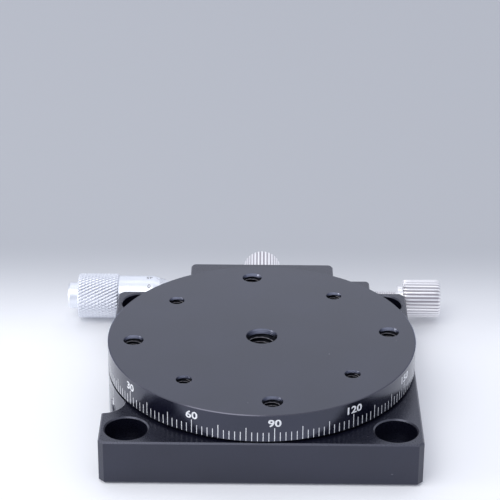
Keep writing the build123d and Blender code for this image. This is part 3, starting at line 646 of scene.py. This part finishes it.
def headRows(s):
    # radius and depth from the socket's floor over the top and down the shank; the socket's rows are hexagonal:
    # their radius is divided by the cosine of the angle from the middle of each side
    socket, head, bevel, under = s["socket"], s["head"], s["bevel"], s["under"]
    rows = np.array([(0.001, s["socketDepth"], 0), (socket, s["socketDepth"], 1), (socket, 0.08, 1),
                     (socket + bevel, under, 1), (head - bevel, under, 0), (head, under + bevel, 0),
                     (head, s["seat"], 0), (s["shank"], s["seat"], 0), (s["shank"], s["end"], 0),
                     (0.001, s["end"], 0)])
    a, depth = np.meshgrid(np.linspace(0, 2 * np.pi, s["around"], endpoint=False), rows[:, 1], indexing="xy")
    hexagon = 1 / np.cos(np.mod(a, np.pi / 3) - np.pi / 6)
    return rows[:, :1] * np.where(rows[:, 2:] > 0, hexagon, 1.0), a, depth


heads = [closedTurning(inPlate, *headRows(headSet), (side * headSet["line"][0], headSet["line"][1]))
         for side in (-1, 1)]
addPiece("vernier_screw_heads", meshFromArrays("vernier_screw_heads", *joinMeshes(heads)), "base",
         dialAnodised, replaced=("vernier_screws",))

screwPlaces = {
    "lock_screw": {"tip": 10.4, "shank": 18.45, "line": (35.5, 5.0), "place": alongX},
    "clamp_screw": {"tip": 20.35, "shank": 18.1, "line": (0.0, 6.25), "place": alongY},
}
for name, s in screwPlaces.items():
    radius, angle, length, shade = thumbScrew(thumbSet, s["shank"])
    points, faces = closedTurning(s["place"], radius, angle, length + s["tip"], s["line"])
    mesh = meshFromArrays(name + "_knurled", points, faces)
    markGrooves(mesh, shade)
    addPiece(name + "_knurled", mesh, name, knurledNickel, replaced=(name,))
print("thumb screws turned")

# Thimble: bevelled front edge, plain barrel, diamond-knurled grip
thimbleSet = {"front": -20.4, "lip": 3.45, "bevel": 2.6, "barrel": 4.3, "knurlFrom": -30.4, "knurlTo": -39.0,
              "knurl": 4.7, "ends": 0.35, "bore": 3.25, "innerEnd": -32.3, "screwBore": 1.8, "starts": 40,
              "slant": 1.42, "depth": 0.17, "cross": 0.78, "around": 400, "line": (35.5, 5.0)}


def thimbleTurning(s):
    # section loop as (x, radius, knurl share), out along the barrel and back through the bore
    q = s["ends"]
    quarter = np.linspace(0, np.pi / 2, 5)
    barrel = [(s["front"], s["bore"], 0), (s["front"], s["lip"], 0), (s["front"] - s["bevel"], s["barrel"], 0),
              (s["front"] - s["bevel"] - 0.15, s["barrel"], 0), (s["knurlFrom"] + 0.12, s["barrel"], 0),
              (s["knurlFrom"] + 0.08, s["barrel"] - 0.06, 0), (s["knurlFrom"], s["barrel"] - 0.06, 0),
              (s["knurlFrom"], s["knurl"] - q, 0)]
    shoulder = [(s["knurlFrom"] - q * (1 - math.sin(t)), s["knurl"] - q * (1 - math.cos(t)), math.cos(t))
                for t in quarter[::-1]][1:]
    grip = [(x, s["knurl"], 1) for x in np.linspace(s["knurlFrom"] - q, s["knurlTo"] + q, 84)[1:-1]]
    heel = [(s["knurlTo"] + q * (1 - math.sin(t)), s["knurl"] - q * (1 - math.cos(t)), math.cos(t))
            for t in quarter]
    bore = [(s["knurlTo"], s["screwBore"], 0), (s["innerEnd"], s["screwBore"], 0),
            (s["innerEnd"], s["bore"], 0)]
    rows = np.array(barrel + shoulder + grip + heel + bore, dtype=float)
    angle = np.linspace(0, 2 * np.pi, s["around"], endpoint=False)
    a, x = np.meshgrid(angle, rows[:, 0], indexing="xy")
    turns = a / (2 * np.pi) * s["starts"]
    # diamonds: the deeper of two waves that climb opposite ways round the grip, one cut less deep
    left, right = triangleWave(turns + x / s["slant"]), triangleWave(turns - x / s["slant"])
    groove = np.clip(1.7 * np.maximum(left, s["cross"] * right) - 0.7, 0, 1) * rows[:, 2][:, None]
    radius = rows[:, 1][:, None] - s["depth"] * groove
    # the groove depth is also the knurl's painted shade, so the shallower set is shaded less
    return alongX(radius, a, x, s["line"]), groove


grid, shade = thimbleTurning(thimbleSet)
points = grid.reshape(-1, 3)
quads = ringFaces(grid.shape[0], grid.shape[1])
triangles = np.concatenate([quads[:, [0, 1, 2]], quads[:, [0, 2, 3]]])
mesh = meshFromArrays("thimble_knurled", points, triangles)
markGrooves(mesh, shade)
addPiece("thimble_knurled", mesh, "thimble", knurledChrome, replaced=("micrometer_thimble",))
print("thimble knurled:", len(triangles), "triangles")


# Graduations of the micrometer
def turnedMarks(x0, x1, r0, r1, angles, width, line, proud, sunk):
    # slabs on a cone about the push line, from (x0, r0) to (x1, r1), one at each angle
    corners = []
    for lift in (-sunk, proud):
        for side, x, r in ((-1, x0, r0), (-1, x1, r1), (1, x1, r1), (1, x0, r0)):
            a = angles + side * width / r / 2
            corners.append(alongX(r + lift, a, np.full(len(a), x), line))
    points = np.stack(corners, axis=1).reshape(-1, 3)
    return points, boxFaces(len(angles))


def wrapAlongX(points, angle, x, radius, line):
    # a flat slab bent round the push line, read from the sleeve towards the thimble
    a = angle + points[:, 1] / radius
    return alongX(radius + points[:, 2], a, x - points[:, 0], line)


gradSet = {"line": (35.5, 5.0), "width": 0.11, "proud": 0.008, "sunk": 0.05, "divisions": 50,
           "bevelFront": -20.55, "bevelBack": -21.75, "longBack": -22.45,
           "numberX": -23.9, "numberHeight": 1.0, "numberWeight": 0.02, "zeroAngle": 0.6,
           "sleeveRadius": 3.2, "sleeveZero": -14.95, "sleeveStep": 0.5, "sleeveMarks": 11}
line = gradSet["line"]
cone = (thimbleSet["barrel"] - thimbleSet["lip"]) / thimbleSet["bevel"]
turn = gradSet["zeroAngle"] + np.arange(gradSet["divisions"]) * 2 * np.pi / gradSet["divisions"]
parts = []
fifths = np.arange(gradSet["divisions"]) % 5 == 0
for chosen, back in ((~fifths, gradSet["bevelBack"]), (fifths, gradSet["longBack"])):
    radii = [thimbleSet["lip"] + (thimbleSet["front"] - x) * cone for x in (gradSet["bevelFront"], back)]
    parts.append(turnedMarks(gradSet["bevelFront"], back, radii[0], radii[1], turn[chosen], gradSet["width"],
                             line, gradSet["proud"], gradSet["sunk"]))
points, faces = joinMeshes(parts)
addPiece("thimble_divisions", meshFromArrays("thimble_divisions", points, faces, smooth=False),
         "thimble", blackFill)
numbers = []
for value in range(0, 50, 5):
    flat, triangles = glyphMesh(str(value), gradSet["numberHeight"], gradSet["numberWeight"], 0.05)
    flat[:, 2] -= 0.025 - gradSet["proud"]
    flat[:, 1] -= gradSet["numberHeight"] / 2
    at = gradSet["zeroAngle"] + value * 2 * math.pi / gradSet["divisions"]
    numbers.append((wrapAlongX(flat, at, gradSet["numberX"], thimbleSet["barrel"], line), triangles))
points, faces = joinMeshes(numbers)
addPiece("thimble_numbers", meshFromArrays("thimble_numbers", points, faces, smooth=False),
         "thimble", blackFill)

# Sleeve: a line along it with a mark every half millimetre
sleeve = []
marks = gradSet["sleeveZero"] - np.arange(gradSet["sleeveMarks"]) * gradSet["sleeveStep"]
reach = np.where(np.arange(len(marks)) % 2 == 0, 0.34, 0.2)
for mark, span in zip(marks, reach):
    sleeve.append(turnedMarks(mark + 0.04, mark - 0.04, gradSet["sleeveRadius"], gradSet["sleeveRadius"],
                              np.array([gradSet["zeroAngle"] + span / 2]), span * gradSet["sleeveRadius"],
                              line, gradSet["proud"], gradSet["sunk"]))
sleeve.append(turnedMarks(marks[0], marks[-1], gradSet["sleeveRadius"], gradSet["sleeveRadius"],
                          np.array([gradSet["zeroAngle"]]), gradSet["width"], line, gradSet["proud"],
                          gradSet["sunk"]))
points, faces = joinMeshes(sleeve)
addPiece("sleeve_scale", meshFromArrays("sleeve_scale", points, faces, smooth=False), "base", blackFill)
print("micrometer graduated")


# Floor, surroundings and lights
studioSet = {"floorNear": (0.93, 0.93, 0.93), "floorFar": (0.37, 0.38, 0.40), "nearLine": 16, "farLine": 72,
             "cameraLift": 0.10, "glossLift": 0.27,
             "floorHalf": 3.0, "room": (0.83, 0.87, 1.0), "ambient": 0.74, "horizon": 0.3, "wall": 1.04,
             "ceiling": 0.90, "wallFrom": 0.16, "wallTop": 0.2, "ceilingFrom": 0.8}


def paleFloor(s):
    # a plain level sheet, white under the object and greyer behind it, so that pale metal stands out
    corners = np.array([[-1, -1, 0], [1, -1, 0], [1, 1, 0], [-1, 1, 0]]) * s["floorHalf"] / mm
    sheet = meshFromArrays("floor", corners + np.array([0, 0, -0.02]), np.array([[0, 1, 2, 3]]), smooth=False)
    ground = bpy.data.objects.new("floor", sheet)
    bpy.context.scene.collection.objects.link(ground)
    material, tree, shader = newFinish("paleFloor", Roughness=0.8)
    place = node(tree, "ShaderNodeSeparateXYZ")
    tree.links.new(coordinates(tree), place.inputs[0])
    back = node(tree, "ShaderNodeMapRange", interpolation_type="SMOOTHSTEP")
    back.inputs[1].default_value, back.inputs[2].default_value = s["nearLine"] * mm, s["farLine"] * mm
    tree.links.new(place.outputs["Y"], back.inputs[0])
    tone = blendColour(tree, back.outputs[0], s["floorNear"], s["floorFar"])
    tree.links.new(tone, shader.inputs["Base Color"])
    # seen in polished metal and by the camera it is a little lighter than its shadowed parts
    paths = node(tree, "ShaderNodeLightPath")
    shader.inputs["Emission Color"].default_value = (*s["room"], 1)
    lift = mathOf(tree, "ADD", mathOf(tree, "MULTIPLY", paths.outputs["Is Camera Ray"], s["cameraLift"]),
                 mathOf(tree, "MULTIPLY", paths.outputs["Is Glossy Ray"], s["glossLift"]))
    tree.links.new(lift, shader.inputs["Emission Strength"])
    ground.data.materials.append(material)


def room(s):
    # a pale room: softer as light on the object than as what polished metal shows
    world = bpy.data.worlds.new("room")
    bpy.context.scene.world = world
    world.use_nodes = True
    tree = world.node_tree
    sky = tree.nodes["Background"]
    sky.inputs["Color"].default_value = (*s["room"], 1)
    height = node(tree, "ShaderNodeSeparateXYZ")
    tree.links.new(node(tree, "ShaderNodeTexCoord").outputs["Generated"], height.inputs[0])
    upper = rangeOf(tree, height.outputs["Z"], s["wallTop"], s["ceilingFrom"], s["wall"], s["ceiling"])
    paths = node(tree, "ShaderNodeLightPath")
    # the foot of the wall is in shade where polished metal shows it, and pale where the camera looks at it
    shade = rangeOf(tree, height.outputs["Z"], 0.0, s["wallFrom"], s["horizon"], 1.0)
    shown = mathOf(tree, "MULTIPLY", upper, mathOf(tree, "MAXIMUM", shade, paths.outputs["Is Camera Ray"]))
    seen = mathOf(tree, "MAXIMUM", paths.outputs["Is Camera Ray"], paths.outputs["Is Glossy Ray"])
    mix = node(tree, "ShaderNodeMix", data_type="FLOAT")
    tree.links.new(seen, mix.inputs[0])
    mix.inputs[2].default_value = s["ambient"]
    tree.links.new(shown, mix.inputs[3])
    tree.links.new(mix.outputs[0], sky.inputs["Strength"])


def softBox(name, centre, size, power):
    data = bpy.data.lights.new(name, "AREA")
    data.shape = "RECTANGLE"
    data.size, data.size_y = size
    data.energy = power
    lamp = bpy.data.objects.new(name, data)
    bpy.context.scene.collection.objects.link(lamp)
    lamp.location = centre
    lamp.rotation_euler = (-Vector(centre)).to_track_quat("-Z", "Y").to_euler()


# metres and watts; each lamp faces the origin
lampSet = {"key": {"centre": (-0.35, -0.45, 0.9), "size": (0.7, 0.7), "power": 3.4},
           "rear": {"centre": (0.1, 0.45, 1.0), "size": (1.2, 0.4), "power": 1.2},
           "left": {"centre": (-0.7, -0.05, 0.12), "size": (0.5, 0.5), "power": 2.5},
           "back": {"centre": (0.0, 1.35, 0.67), "size": (2.4, 0.75), "power": 1.7}}
paleFloor(studioSet)
room(studioSet)
for name, lamp in lampSet.items():
    softBox(name, **lamp)
print("studio lit")
